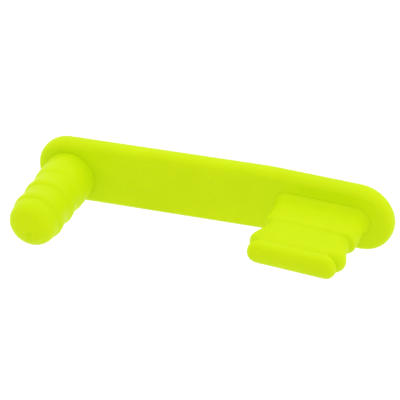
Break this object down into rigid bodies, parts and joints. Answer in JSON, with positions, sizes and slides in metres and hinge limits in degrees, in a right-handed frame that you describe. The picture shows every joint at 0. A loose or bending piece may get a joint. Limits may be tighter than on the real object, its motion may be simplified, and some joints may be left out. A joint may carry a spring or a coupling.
{
  "type": "phone dust plug",
  "caption": "Soft silicone strip with rounded ends carrying a round ribbed plug and a flat ribbed plug, with low nibs between them, to close a phone's sockets.",
  "frame": {"origin": "centre of the part's outline, on the flat outer face of the strip", "axes": "+Z is the way the plugs go into the phone, X runs along the strip with the round plug at -X, +Y is across the strip"},
  "size_m": [0.0281, 0.0052, 0.0097],
  "materials": {
    "strip_silicone": "satin",
    "web_silicone": "satin",
    "plug_silicone": "satin"
  },
  "bodies": {
    "jack_side": {"strip_jack_end": "strip_silicone", "jack_plug": "plug_silicone", "strip_web": "web_silicone"},
    "port_side": {"strip_port_end": "strip_silicone", "port_plug": "plug_silicone"}
  },
  "joints": [
    {"name": "strip_flex", "type": "hinge", "parent": "jack_side", "child": "port_side", "pos_m": [-0.002, 0, 0.00068], "axis": [0, 1, 0], "range_deg": [-50, 60], "stiffness_Nm_per_rad": 0.00015, "deforming": ["strip_web"]}
  ]
}
